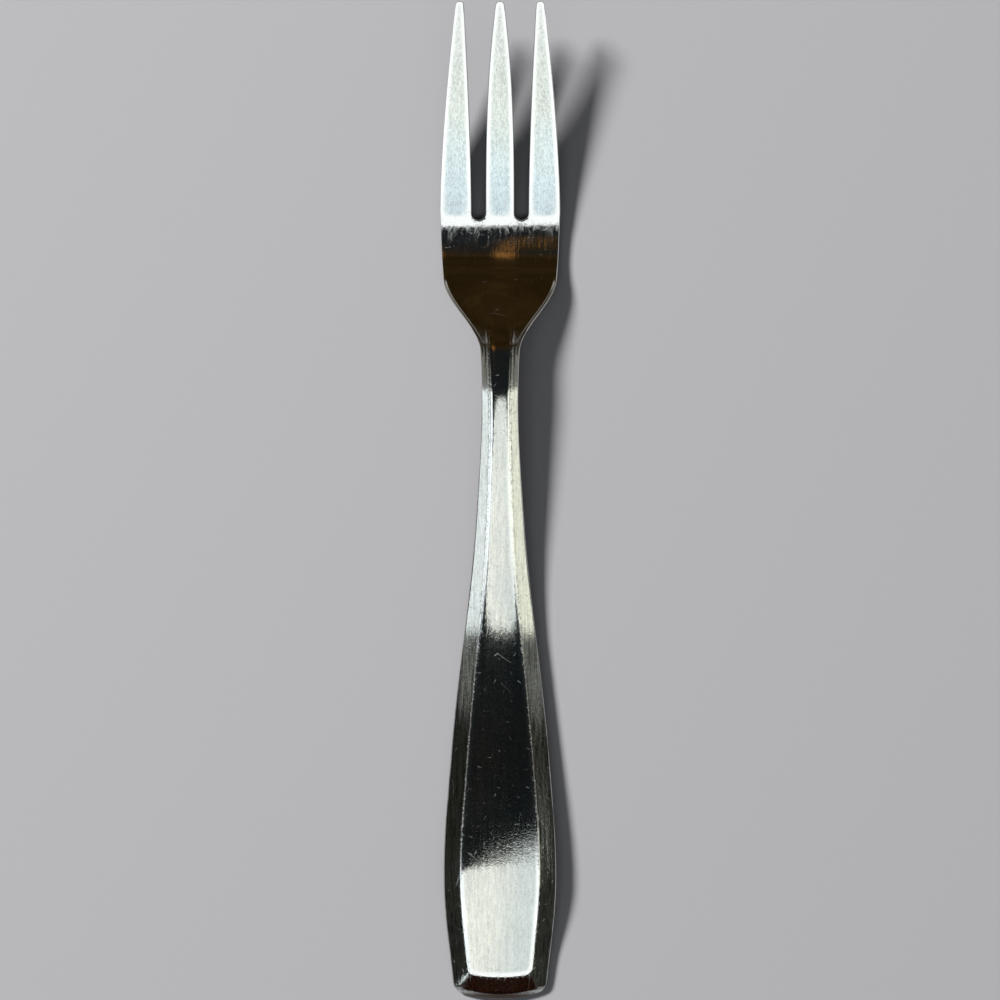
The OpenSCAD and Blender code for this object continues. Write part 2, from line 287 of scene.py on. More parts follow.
def pressFork():
    bm = bmesh.new()
    across, lengthwise = len(columns) - 1, lastRow
    bmesh.ops.create_grid(bm, x_segments=across, y_segments=lengthwise, size=0.5)
    rowOf = bm.verts.layers.int.new("row")
    columnOf = bm.verts.layers.int.new("column")
    backOf = bm.verts.layers.int.new("back")
    ridgeOf = bm.verts.layers.float.new("ridge")
    rimOf = bm.verts.layers.float.new("rim")
    for v in bm.verts:
        v[rowOf] = round((v.co.y + 0.5) * lengthwise)
        v[columnOf] = round((v.co.x + 0.5) * across)
    # cut the two slots out of the blank
    air = []
    for f in bm.faces:
        r = min(v[rowOf] for v in f.verts)
        lanes = {columns[v[columnOf]][0] for v in f.verts}
        if r >= rootRow and (len(lanes) > 1 or lanes.pop() % 2):
            air.append(f)
    bmesh.ops.delete(bm, geom=air, context="FACES")
    # a second sheet for the back
    twin = bmesh.ops.duplicate(bm, geom=bm.verts[:] + bm.edges[:] + bm.faces[:])["geom"]
    backFaces = [g for g in twin if isinstance(g, bmesh.types.BMFace)]
    for g in twin:
        if isinstance(g, bmesh.types.BMVert):
            g[backOf] = 1
    for f in backFaces:
        f.material_index = 1
    bmesh.ops.reverse_faces(bm, faces=backFaces)
    # press both sheets into shape
    rowEdges = [laneEdges(s) for s in rows]
    for v in bm.verts:
        r, c = v[rowOf], v[columnOf]
        s, lane = rows[r], columns[c][0]
        edges = rowEdges[r]
        x = columnX(edges, lane, columns[c][1])
        y = stationAt(s, x, lane)
        drop, fromRidge = faceDrop(s, x, edges)
        fromRim, full = rimAt(s, x, y, lane, edges)
        low = undersideAt(y)
        high = low + curveAt(thicknesses, y) - drop
        half = 0 if onEdge(r, c) else (high - low) / 2 * full
        side = -1 if v[backOf] else 1
        along = y - fork["length"] / 2
        v.co = Vector((x * fork["snug"], along * fork["snug"], (low + high) / 2 + side * half)) * mm
        v[ridgeOf] = fork["deepInside"] if side < 0 else panelDepth(s, x, edges, fromRidge)
        v[rimOf] = max(0, fromRim)
    bmesh.ops.remove_doubles(bm, verts=bm.verts[:], dist=fork["weld"] * mm)
    for f in bm.faces:
        f.smooth = True
    mesh = bpy.data.meshes.new("saladFork")
    bm.to_mesh(mesh)
    bm.free()
    piece = bpy.data.objects.new("saladFork", mesh)
    scene.collection.objects.link(piece)
    return piece


forkPiece = pressFork()
print("fork pressed:", len(forkPiece.data.polygons), "faces")


# Node helpers
def put(tree, kind, **settings):
    node = tree.nodes.new(kind)
    for name, value in settings.items():
        setattr(node, name, value)
    return node


def feed(tree, socket, value):
    if isinstance(value, bpy.types.NodeSocket):
        tree.links.new(value, socket)
    else:
        socket.default_value = value


def calc(tree, operation, *values, clamp=False):
    node = put(tree, "ShaderNodeMath", operation=operation, use_clamp=clamp)
    for socket, value in zip(node.inputs, values):
        feed(tree, socket, value)
    return node.outputs[0]


def vector(tree, operation, *values):
    node = put(tree, "ShaderNodeVectorMath", operation=operation)
    for socket, value in zip(node.inputs, values):
        feed(tree, socket, value)
    return node.outputs["Value" if operation == "LENGTH" else "Vector"]


def remap(tree, value, fromLow, fromHigh, toLow=0.0, toHigh=1.0, smooth=False):
    node = put(tree, "ShaderNodeMapRange", interpolation_type="SMOOTHSTEP" if smooth else "LINEAR")
    for socket, v in zip(node.inputs, (value, fromLow, fromHigh, toLow, toHigh)):
        feed(tree, socket, v)
    return node.outputs[0]


def noise(tree, place, scale=1.0, detail=2.0, rough=0.5, seed=0.0, distort=0.0):
    node = put(tree, "ShaderNodeTexNoise", noise_dimensions="4D")
    settings = {"Vector": place, "W": seed, "Scale": scale, "Detail": detail, "Roughness": rough,
                "Distortion": distort}
    for name, value in settings.items():
        feed(tree, node.inputs[name], value)
    return node.outputs[0]


def tint(tree, share, first, second):
    node = put(tree, "ShaderNodeMix", data_type="RGBA")
    feed(tree, node.inputs[0], share)
    feed(tree, node.inputs[6], first)
    feed(tree, node.inputs[7], second)
    return node.outputs[2]


def total(tree, *terms):
    result = terms[0]
    for term in terms[1:]:
        result = calc(tree, "ADD", result, term)
    return result


def times(tree, *terms):
    result = terms[0]
    for term in terms[1:]:
        result = calc(tree, "MULTIPLY", result, term)
    return result


def flip(tree, value):
    return calc(tree, "SUBTRACT", 1.0, value)


def split(tree, place):
    node = put(tree, "ShaderNodeSeparateXYZ")
    feed(tree, node.inputs[0], place)
    return node.outputs


def join(tree, x, y, z):
    node = put(tree, "ShaderNodeCombineXYZ")
    for socket, value in zip(node.inputs, (x, y, z)):
        feed(tree, socket, value)
    return node.outputs[0]


def turn(tree, place, angle):
    node = put(tree, "ShaderNodeVectorRotate", rotation_type="Z_AXIS")
    feed(tree, node.inputs["Vector"], place)
    feed(tree, node.inputs["Angle"], angle)
    return node.outputs[0]


# A node group: inputs with a plain number are values, None is a place in mm
def newGroup(name, inputs, outputs):
    tree = bpy.data.node_groups.new(name, "ShaderNodeTree")
    for label, value in inputs.items():
        kind = "NodeSocketVector" if value is None else "NodeSocketFloat"
        socket = tree.interface.new_socket(name=label, in_out="INPUT", socket_type=kind)
        if value is not None:
            socket.default_value = value
    for label in outputs:
        tree.interface.new_socket(name=label, in_out="OUTPUT", socket_type="NodeSocketFloat")
    return tree, put(tree, "NodeGroupInput").outputs, put(tree, "NodeGroupOutput").inputs


# Polishing lines, drawn out along the fork or across it
def makePolishLines():
    tree, given, out = newGroup("polishLines", {"Place": None, "Across": 2.5, "Along": 0.06, "Seed": 0.0},
                                ["Height", "Streak"])
    stretch = join(tree, given["Across"], given["Along"], given["Across"])
    drawn = vector(tree, "MULTIPLY", given["Place"], stretch)
    lines = noise(tree, drawn, detail=3.0, rough=0.6, seed=given["Seed"])
    feed(tree, out["Height"], lines)
    feed(tree, out["Streak"], remap(tree, lines, 0.35, 0.65))
    return tree


# Short scratches strewn over the steel: one in each cell, some left out
def makeTicks():
    tree, given, out = newGroup("strewnScratches", {
        "Place": None, "Cell": 4.0, "Angle": 0.0, "Swing": 3.0, "Length": 0.3, "Width": 0.06, "Share": 0.5,
        "Seed": 0.0}, ["Mask"])
    shift = join(tree, times(tree, given["Seed"], 13.7), times(tree, given["Seed"], 5.1), 0.0)
    size = join(tree, given["Cell"], given["Cell"], 1.0)
    spot = vector(tree, "ADD", vector(tree, "DIVIDE", given["Place"], size), shift)
    cells = put(tree, "ShaderNodeTexVoronoi", voronoi_dimensions="2D", feature="F1")
    feed(tree, cells.inputs["Vector"], spot)
    cells.inputs["Scale"].default_value = 1.0
    dice = put(tree, "ShaderNodeSeparateColor")
    feed(tree, dice.inputs[0], cells.outputs["Color"])
    swing = times(tree, calc(tree, "SUBTRACT", dice.outputs[0], 0.5), given["Swing"])
    local = vector(tree, "SUBTRACT", spot, cells.outputs["Position"])
    offset = split(tree, turn(tree, local, total(tree, given["Angle"], swing)))
    bow = times(tree, offset[0], offset[0], calc(tree, "SUBTRACT", dice.outputs[2], 0.5))
    away = times(tree, calc(tree, "ABSOLUTE", calc(tree, "ADD", offset[1], bow)), given["Cell"])
    line = flip(tree, remap(tree, away, 0.0, given["Width"]))
    ends = flip(tree, remap(tree, calc(tree, "ABSOLUTE", offset[0]), times(tree, given["Length"], 0.6),
                            given["Length"]))
    there = calc(tree, "LESS_THAN", dice.outputs[1], given["Share"])
    depth = remap(tree, dice.outputs[2], 0.0, 1.0, 0.35, 1.0)
    feed(tree, out["Mask"], times(tree, line, ends, there, depth))
    return tree


# Specks where an edge has been knocked
def makeEdgeWear():
    tree, given, out = newGroup("edgeWear", {"Place": None, "Distance": 9.0, "Reach": 0.5, "Grain": 3.0,
                                             "Amount": 0.5}, ["Mask"])
    away = calc(tree, "ABSOLUTE", given["Distance"])
    near = flip(tree, remap(tree, away, 0.0, given["Reach"], smooth=True))
    specks = noise(tree, given["Place"], scale=given["Grain"], detail=2.0, rough=0.7)
    cutoff = remap(tree, given["Amount"], 0.0, 1.0, 0.75, 0.35)
    hits = remap(tree, specks, cutoff, calc(tree, "ADD", cutoff, 0.1))
    feed(tree, out["Mask"], times(tree, near, hits))
    return tree


# Dull film left by water and fingers, in soft patches
def makeFilm():
    tree, given, out = newGroup("dullFilm", {"Place": None, "Scale": 0.2, "Seed": 0.0}, ["Patch"])
    field = noise(tree, given["Place"], scale=given["Scale"], detail=4.0, rough=0.6, seed=given["Seed"],
                  distort=0.5)
    feed(tree, out["Patch"], remap(tree, field, 0.4, 0.7, smooth=True))
    return tree


# One scratch at a set place, in mm and radians. The bow makes it an arc.
def makeScratch():
    tree, given, out = newGroup("singleScratch", {
        "Place": None, "Centre": None, "Angle": 0.0, "Length": 3.0, "Width": 0.12, "Bow": 0.0}, ["Mask"])
    offset = vector(tree, "SUBTRACT", given["Place"], given["Centre"])
    local = split(tree, turn(tree, offset, times(tree, given["Angle"], -1.0)))
    away = calc(tree, "ABSOLUTE", total(tree, local[1], times(tree, given["Bow"], local[0], local[0])))
    line = flip(tree, remap(tree, away, 0.0, given["Width"], smooth=True))
    half = times(tree, given["Length"], 0.5)
    reached = calc(tree, "ABSOLUTE", local[0])
    ends = flip(tree, remap(tree, reached, times(tree, half, 0.6), half, smooth=True))
    feed(tree, out["Mask"], times(tree, line, ends))
    return tree


# One round spot, or the ring round a dried drop
def makeSpot():
    tree, given, out = newGroup("driedSpot", {
        "Place": None, "Centre": None, "Wide": 1.0, "High": 1.0, "Ring": 0.15}, ["Spot", "Ring"])
    local = split(tree, vector(tree, "SUBTRACT", given["Place"], given["Centre"]))
    beside = calc(tree, "DIVIDE", local[0], given["Wide"])
    ahead = calc(tree, "DIVIDE", local[1], given["High"])
    away = vector(tree, "LENGTH", join(tree, beside, ahead, 0.0))
    feed(tree, out["Spot"], flip(tree, remap(tree, away, 0.2, 1.0, smooth=True)))
    offRing = calc(tree, "ABSOLUTE", calc(tree, "SUBTRACT", away, 1.0))
    feed(tree, out["Ring"], flip(tree, remap(tree, offRing, 0.0, given["Ring"], smooth=True)))
    return tree


groups = {
    "lines": makePolishLines(), "ticks": makeTicks(), "edgeWear": makeEdgeWear(), "film": makeFilm(),
    "scratch": makeScratch(), "spot": makeSpot(),
}
print("finish groups made:", len(groups))


def use(tree, name, **values):
    node = put(tree, "ShaderNodeGroup", node_tree=groups[name])
    for label, value in values.items():
        feed(tree, node.inputs[label.capitalize()], value)
    return node.outputs


def newMaterial(name):
    material = bpy.data.materials.new(name)
    material.use_nodes = True
    tree = material.node_tree
    tree.nodes.clear()
    shader = put(tree, "ShaderNodeBsdfPrincipled")
    feed(tree, put(tree, "ShaderNodeOutputMaterial").inputs["Surface"], shader.outputs[0])
    shader.inputs["Metallic"].default_value = 1.0
    place = vector(tree, "MULTIPLY", put(tree, "ShaderNodeTexCoord").outputs["Object"], (1 / mm,) * 3)
    return material, tree, shader, place


# What both sides of the steel share. The table gets little light back from it, so the slots stay dark.
steel = {"bounced": (0.03, 0.03, 0.03, 1), "heightUnit": 1e-6}  # heights are in thousandths of a mm


def paintSteel(tree, shader, colour):
    bounced = put(tree, "ShaderNodeLightPath").outputs["Is Diffuse Ray"]
    feed(tree, shader.inputs["Base Color"], tint(tree, bounced, colour, steel["bounced"]))


def attribute(tree, name):
    return put(tree, "ShaderNodeAttribute", attribute_name=name).outputs["Fac"]


# Layers added up, each by its own amount
def blend(tree, layers, amounts):
    return total(tree, *[times(tree, layers[name], amount) for name, amount in amounts.items()])


def emboss(tree, shader, layers, heights):
    bump = put(tree, "ShaderNodeBump")
    bump.inputs["Strength"].default_value = 1.0
    bump.inputs["Distance"].default_value = steel["heightUnit"]
    feed(tree, bump.inputs["Height"], blend(tree, layers, heights))
    feed(tree, shader.inputs["Normal"], bump.outputs[0])


# 1 until a fade, and 1 between two fades
def until(tree, value, full, gone):
    return flip(tree, remap(tree, value, full, gone, smooth=True))


def between(tree, value, rising, full, fading, gone):
    return times(tree, remap(tree, value, rising, full, smooth=True), until(tree, value, fading, gone))


# Face of the fork: polished, and used for years. Its colours also hold painted reflections and painted shade.
# Places are in mm from the fork's middle.
face = {
    # Painted reflection and highlight: tine edges and the band at the tine roots near white, tine flats
    # bluish low down, yellowish higher up, pale at the tips
    "edge": (0.95, 0.96, 0.955, 1), "core": (0.75, 0.87, 0.915, 1), "upperCore": (0.83, 0.89, 0.84, 1),
    "tipCore": (0.89, 0.93, 0.9, 1), "palm": (0.92, 0.89, 0.83, 1), "stain": (0.78, 0.74, 0.66, 1),
    # Painted reflection: the handle's panel is painted warm on the left and a darker, cool green-blue on the
    # right
    "panel": (0.92, 0.96, 0.92, 1), "warm": (0.96, 0.94, 0.83, 1), "cool": (0.67, 0.735, 0.72, 1),
    # Painted shade: the handle's bevel is a little darker than the panel
    "bevel": (0.8, 0.81, 0.79, 1), "grime": (0.16, 0.16, 0.15, 1), "dullCutWallShade": (0.3, 0.3, 0.31, 1),
    # Painted shade: the end wall is painted near black-brown as a dark reflection
    "endWallShade": (0.1, 0.075, 0.06, 1),
    # stretches along the fork: where each starts, is full, starts to fade and is gone
    "stretches": {
        "palm": (14.0, 24.0, 33.0, 40.0), "brink": (38.0, 41.0, 43.5, 46.0), "fuzz": (39.3, 41.3, 42.4, 43.6),
        "fold": (28.0, 35.0, 39.0, 42.5), "shoulder": (21.0, 25.0, 33.0, 36.0),
        "turn": (-64.0, -58.0, -52.0, -46.0), "lean": (-63.0, -48.0, -46.0, -20.0),
        "scuff": (-60.0, -52.0, -26.0, -18.0)},
    # stretches from the handle's end: where each starts to fade and is gone
    "starts": {"handle": (14.0, 22.0), "throat": (22.0, 28.0), "grip": (-26.0, -18.0),
               "endWallShade": (-77.5, -76.7)},
    # tine flats, slots, and the fades beside the panel's edge and the rim
    "rootLine": 44.2, "rootShare": 1.8, "coreFade": (0.3, 0.95), "least": 0.001,
    "slotRoot": 43.0, "slotSides": (44.0, 78.0, 5.0, 6.1),
    "panelFade": (0.1, 0.75), "borderFade": (-0.45, -0.1), "cutFade": (0.03, 0.07),
    # colour changes along the tines and across the panel, and how far they wander
    "upperFade": (51.0, 61.0), "tipFade": (66.0, 73.0), "driftAlong": 14.0,
    "coolFade": (-2.0, 4.0), "driftAcross": 8.0, "fineShown": (0.1, 0.6),
    # how much each streak darkens the tine flats and the handle
    "dulled": {"hairs": 0.25, "grain": 0.18, "lines": 0.12},
    "brushed": {"hairs": 0.12, "grain": 0.12, "lines": 0.12, "fine": 0.2, "bevel": 0.45, "scuff": 0.3},
    "rough": 0.065, "coreRough": 0.12, "hairRough": (-0.01, 0.02),
    # what each mark adds to the roughness
    "roughened": {"film": 0.02, "ticks": 0.2, "wear": 0.24, "nicks": 0.25, "arcs": 0.14, "dried": 0.12,
                  "fuzz": 0.18, "cut": 0.3},
    "browFade": (37.0, 43.5), "browTurn": -0.03, "foldFade": (-2.0, 3.4), "chamferFade": (0.15, 0.65),
    "heights": {"brow": -300.0, "fold": 140.0, "lean": 26.0, "specks": 5.0, "chamfer": 80.0, "lines": 4.0,
                "hairs": 6.0, "grain": 2.0, "waves": 5.0, "brinkTeeth": 28.0, "handleTeeth": 8.4,
                "streaks": 5.0, "ticks": -4.0, "wear": -5.0, "nicks": -3.0},
    "longTicks": 0.8, "dust": 0.7, "endTicks": (-75.5, -74.0, 0.3, 1.0), "wearShift": 0.2,
    # single marks on the palm: centre x, y in mm, turn, length, width, bow
    "nicks": [(1.3, 42.2, 1.75, 0.9, 0.12, 0.0), (-8.2, 39.7, 0.1, 1.2, 0.1, 0.0),
              (-7.2, 39.9, -0.25, 0.4, 0.09, 0.0), (6.4, 38.6, 0.9, 0.4, 0.09, 0.0),
              (-2.4, 34.3, 0.1, 1.0, 0.07, 0.0)],
    "arcs": [(3.8, 41.2, 0.03, 8.5, 0.07, 0.007), (3.0, 40.7, 0.05, 7.0, 0.06, 0.008),
             (3.6, 40.3, 0.03, 7.5, 0.06, 0.009), (4.4, 39.9, 0.02, 8.0, 0.06, 0.01)],
    "drop": {"centre": (-2.8, 40.7, 0.0), "wide": 1.15, "high": 1.0, "ring": 0.3},
}


def strokes(tree, place, marks):
    found = 0.0
    for x, y, angle, length, width, bow in marks:
        mark = use(tree, "scratch", place=place, centre=(x, y, 0.0), angle=angle, length=length, width=width,
                   bow=bow)
        found = calc(tree, "MAXIMUM", found, mark["Mask"])
    return found


# Textures that the colour, roughness and relief share
def textureFace(tree, place):
    return {
        "lines": use(tree, "lines", place=place, across=1.3, along=0.03, seed=1.0),
        "fine": use(tree, "lines", place=place, across=3.4, along=0.08, seed=5.0),
        "hairs": use(tree, "lines", place=place, across=3.2, along=1.3, seed=4.0),
        "teeth": use(tree, "lines", place=place, across=2.0, along=0.36, seed=10.0),
        "level": use(tree, "lines", place=place, across=0.35, along=1.2, seed=7.0),
        "grain": noise(tree, place, scale=4.6, detail=1.0, rough=0.6, seed=2.0),
        "waves": noise(tree, place, scale=0.13, detail=1.0, seed=6.0),
        "blot": noise(tree, place, scale=1.1, detail=3.0, rough=0.6, seed=8.0),
        "drift": noise(tree, place, scale=0.1, detail=2.0, seed=9.0),
    }


# Where things are: the stretches, tine flats, panel, border and cut walls
def zoneFace(tree, place, rim, ridge):
    sideways, lengthwise, _ = split(tree, place)
    zone = {name: between(tree, lengthwise, *fades) for name, fades in face["stretches"].items()}
    zone.update({name: until(tree, lengthwise, *fades) for name, fades in face["starts"].items()})
    # The core fades out near the rims and the tine roots; outside it the colour is a painted highlight
    aboveRoots = times(tree, calc(tree, "SUBTRACT", lengthwise, face["rootLine"]), face["rootShare"])
    inside = [calc(tree, "MAXIMUM", depth, face["least"]) for depth in (rim, aboveRoots)]
    near = [calc(tree, "DIVIDE", 1.0, depth) for depth in inside]
    zone["core"] = remap(tree, calc(tree, "DIVIDE", 1.0, total(tree, *near)), *face["coreFade"], smooth=True)
    zone["panel"] = remap(tree, ridge, *face["panelFade"], smooth=True)
    zone["border"] = until(tree, ridge, *face["borderFade"])
    zone["gripBevel"] = times(tree, zone["grip"], zone["border"])
    slotSide = remap(tree, lengthwise, *face["slotSides"])
    inSlot = times(tree, calc(tree, "LESS_THAN", calc(tree, "ABSOLUTE", sideways), slotSide),
                   calc(tree, "GREATER_THAN", lengthwise, face["slotRoot"]))
    # Cut walls: the slot sides and the grip's rim, painted dark as shade and made rougher
    walls = flip(tree, remap(tree, rim, *face["cutFade"]))
    zone["cut"] = times(tree, calc(tree, "MAXIMUM", inSlot, zone["grip"]), walls)
    return zone


# Scratches, knocks, stains and cut walls
def markFace(tree, place, rim, ridge, texture, zone):
    lengthwise = split(tree, place)[1]
    shortTicks = use(tree, "ticks", place=place, cell=1.5, swing=3.1, length=0.26, width=0.04, share=0.45,
                     seed=1.0)
    longTicks = use(tree, "ticks", place=place, cell=5.0, angle=1.2, swing=2.2, length=0.34, width=0.035,
                    share=0.5, seed=3.0)
    dust = use(tree, "ticks", place=place, cell=0.9, swing=6.0, length=0.11, width=0.06, share=0.16, seed=6.0)
    ticks = calc(tree, "MAXIMUM", shortTicks["Mask"], times(tree, longTicks["Mask"], face["longTicks"]))
    ticks = calc(tree, "MAXIMUM", ticks, times(tree, dust["Mask"], face["dust"]))
    fromRidge = calc(tree, "ADD", ridge, face["wearShift"])
    worn = use(tree, "edgeWear", place=place, distance=fromRidge, reach=0.45, grain=2.8, amount=0.55)
    knocked = use(tree, "edgeWear", place=place, distance=rim, reach=0.4, grain=1.8, amount=0.2)
    arcs = strokes(tree, place, face["arcs"])
    drop = use(tree, "spot", place=place, **face["drop"])
    return {
        "ticks": times(tree, ticks, remap(tree, lengthwise, *face["endTicks"])),
        "wear": calc(tree, "MAXIMUM", times(tree, worn["Mask"], zone["throat"]), knocked["Mask"]),
        "nicks": strokes(tree, place, face["nicks"]),
        "arcs": times(tree, arcs, remap(tree, texture["blot"], 0.35, 0.6, 0.2, 1.0)),
        "dried": times(tree, drop["Ring"], remap(tree, texture["blot"], 0.4, 0.6)),
        "film": use(tree, "film", place=place, scale=0.11, seed=3.0)["Patch"],
        "fuzz": times(tree, remap(tree, texture["teeth"]["Streak"], 0.35, 1.0), zone["fuzz"]),
        "cut": zone["cut"],
    }


# Streaks that darken the flats of the tines and the handle
def streakFace(tree, texture, zone):
    fine, grain = texture["fine"]["Streak"], texture["grain"]
    streaks = {
        "hairs": remap(tree, texture["hairs"]["Streak"], 0.2, 1.0), "grain": remap(tree, grain, 0.4, 0.7),
        "lines": texture["lines"]["Streak"], "fine": fine,
        "bevel": times(tree, remap(tree, fine, 0.4, 1.0), zone["gripBevel"]),
        "scuff": times(tree, remap(tree, grain, 0.35, 0.65), zone["scuff"]),
    }
    flat = times(tree, zone["handle"], calc(tree, "MAXIMUM", zone["panel"], zone["border"]))
    dulled = times(tree, blend(tree, streaks, face["dulled"]), zone["core"])
    brushed = times(tree, blend(tree, streaks, face["brushed"]), flat)
    return calc(tree, "ADD", dulled, brushed, clamp=True)


def colourFace(tree, place, texture, zone):
    sideways, lengthwise, _ = split(tree, place)
    drift = calc(tree, "SUBTRACT", texture["drift"], 0.5)
    along = total(tree, lengthwise, times(tree, drift, face["driftAlong"]))
    # Painted reflection: the tine flats are tinted bluish, then yellowish higher up, then pale at the tips
    paintedReflection = tint(tree, remap(tree, along, *face["upperFade"], smooth=True), face["core"], face["upperCore"])
    paintedReflection = tint(tree, remap(tree, along, *face["tipFade"], smooth=True), paintedReflection, face["tipCore"])
    across = total(tree, sideways, times(tree, drift, face["driftAcross"]))
    # Painted reflection: the panel is warm on the left and darker, cool green-blue on the right
    panel = tint(tree, remap(tree, across, *face["coolFade"], smooth=True), face["warm"], face["cool"])
    fineShown = remap(tree, texture["fine"]["Streak"], 0.0, 1.0, *face["fineShown"])
    panel = tint(tree, fineShown, panel, face["panel"])
    stains = times(tree, texture["level"]["Streak"], remap(tree, texture["blot"], 0.35, 0.6))
    # Painted highlight: near the rims and along the tine roots the colour stays near white
    colour = tint(tree, zone["core"], face["edge"], paintedReflection)
    colour = tint(tree, zone["palm"], colour, tint(tree, stains, face["palm"], face["stain"]))
    # Painted shade: the handle's bevel is painted a little darker
    colour = tint(tree, times(tree, zone["handle"], zone["border"]), colour, face["bevel"])
    colour = tint(tree, times(tree, zone["handle"], zone["panel"]), colour, panel)
    colour = tint(tree, streakFace(tree, texture, zone), colour, face["grime"])
    # Painted shade: the end wall is painted near black-brown as a dark reflection
    colour = tint(tree, zone["endWallShade"], colour, face["endWallShade"])
    # Painted shade: the cut walls are painted dark, partly as duller punched steel and partly as shade in the
    # slots
    return tint(tree, zone["cut"], colour, face["dullCutWallShade"])


# Soft swells of the palm and handle, then brushing and marks
def reliefFace(tree, place, rim, texture, zone, marks):
    sideways, lengthwise, _ = split(tree, place)
    slanted = total(tree, lengthwise, times(tree, sideways, face["browTurn"]))
    teeth = texture["teeth"]["Height"]
    return {
        "brow": remap(tree, slanted, *face["browFade"], smooth=True),
        "fold": times(tree, remap(tree, sideways, *face["foldFade"], smooth=True), zone["fold"]),
        "lean": times(tree, sideways, zone["lean"]),
        "specks": times(tree, texture["grain"], zone["turn"]),
        "chamfer": times(tree, zone["shoulder"], remap(tree, rim, *face["chamferFade"], smooth=True)),
        "lines": texture["lines"]["Height"], "hairs": texture["hairs"]["Height"],
        "grain": texture["grain"], "waves": texture["waves"],
        "brinkTeeth": times(tree, teeth, zone["brink"]), "handleTeeth": times(tree, teeth, zone["handle"]),
        "streaks": times(tree, texture["fine"]["Height"], zone["gripBevel"]),
        "ticks": marks["ticks"], "wear": marks["wear"], "nicks": marks["nicks"],
    }


def steelFace():
    material, tree, shader, place = newMaterial("polishedSteelFace")
    ridge, rim = attribute(tree, "ridge"), attribute(tree, "rim")
    texture = textureFace(tree, place)
    zone = zoneFace(tree, place, rim, ridge)
    marks = markFace(tree, place, rim, ridge, texture, zone)
    paintSteel(tree, shader, colourFace(tree, place, texture, zone))
    feed(tree, shader.inputs["Roughness"], total(
        tree, remap(tree, zone["core"], 0.0, 1.0, face["rough"], face["coreRough"]),
        remap(tree, texture["hairs"]["Streak"], 0.0, 1.0, *face["hairRough"]),
        blend(tree, marks, face["roughened"])))
    emboss(tree, shader, reliefFace(tree, place, rim, texture, zone, marks), face["heights"])
    return material


# Back of the fork: the same steel, buffed softer and scuffed where it slides on a table
back = {
    "bright": (0.78, 0.78, 0.765, 1), "dull": (0.66, 0.665, 0.665, 1), "streaked": (0.1, 0.9),
    "rough": (0.17, 0.25), "roughened": {"film": 0.06, "ticks": 0.1},
    "heights": {"lines": 4.0, "hairs": 1.5, "ticks": -4.0, "wear": -4.0},
}


def steelBack():
    material, tree, shader, place = newMaterial("buffedSteelBack")
    rim = attribute(tree, "rim")
    lines = use(tree, "lines", place=place, across=1.5, along=0.04, seed=11.0)
    hairs = use(tree, "lines", place=place, across=4.5, along=0.4, seed=12.0)
    shortTicks = use(tree, "ticks", place=place, cell=2.2, swing=3.1, length=0.25, width=0.06, share=0.4,
                     seed=13.0)
    longTicks = use(tree, "ticks", place=place, cell=6.0, angle=1.3, swing=1.6, length=0.42, width=0.05,
                    share=0.6, seed=14.0)
    knocked = use(tree, "edgeWear", place=place, distance=rim, reach=0.7, grain=1.6, amount=0.35)
    layers = {
        "lines": lines["Height"], "hairs": hairs["Height"], "wear": knocked["Mask"],
        "ticks": calc(tree, "MAXIMUM", shortTicks["Mask"], longTicks["Mask"]),
        "film": use(tree, "film", place=place, scale=0.1, seed=15.0)["Patch"],
    }
    streaked = remap(tree, lines["Streak"], 0.0, 1.0, *back["streaked"])
    paintSteel(tree, shader, tint(tree, streaked, back["dull"], back["bright"]))
    feed(tree, shader.inputs["Roughness"], total(
        tree, remap(tree, hairs["Streak"], 0.0, 1.0, *back["rough"]), blend(tree, layers, back["roughened"])))
    emboss(tree, shader, layers, back["heights"])
    return material


forkPiece.data.materials.append(steelFace())
forkPiece.data.materials.append(steelBack())
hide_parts("fork")
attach(forkPiece, "root")
print("steel finished")

# Floor: a plain pale sheet
floorLook = {"size": 6.0, "colour": (0.38, 0.38, 0.4, 1), "rough": 0.8, "shine": 0.2}


def layFloor():
    bm = bmesh.new()
    bmesh.ops.create_grid(bm, x_segments=1, y_segments=1, size=floorLook["size"] / 2)
    mesh = bpy.data.meshes.new("paleFloor")
    bm.to_mesh(mesh)
    bm.free()
    floor = bpy.data.objects.new("paleFloor", mesh)
    scene.collection.objects.link(floor)
    material = bpy.data.materials.new("palePaper")
    material.use_nodes = True
    shader = material.node_tree.nodes["Principled BSDF"]
    shader.inputs["Base Color"].default_value = floorLook["colour"]
    shader.inputs["Roughness"].default_value = floorLook["rough"]
    shader.inputs["Specular IOR Level"].default_value = floorLook["shine"]
    mesh.materials.append(material)
    return floor


layFloor()

# Light: a softbox and two strips hung behind the handle shine in the steel.
# A key lamp from the upper left casts the shadow.
light = {
    "hung": 0.8, "glow": 1.05,
    "box": {"side": 0.02, "edge": -0.066, "deep": 0.4, "wide": 0.5, "turned": 7.0,
            "colour": (0.96, 0.99, 0.985)},
    "leftStrip": {"side": -0.335, "edge": -0.035, "deep": 0.42, "wide": 0.23, "turned": 0.0,
                  "colour": (0.87, 0.95, 0.97)},
    "rightStrip": {"side": 0.355, "edge": -0.03, "deep": 0.25, "wide": 0.21, "turned": 0.0,
                   "colour": (0.85, 0.87, 0.72)},
    "keyFrom": (-1.0, 0.72, 0.85), "keyFar": 2.5, "keySize": 0.6, "keyLight": 6.0,
    "keyColour": (1.0, 0.985, 0.96),
}


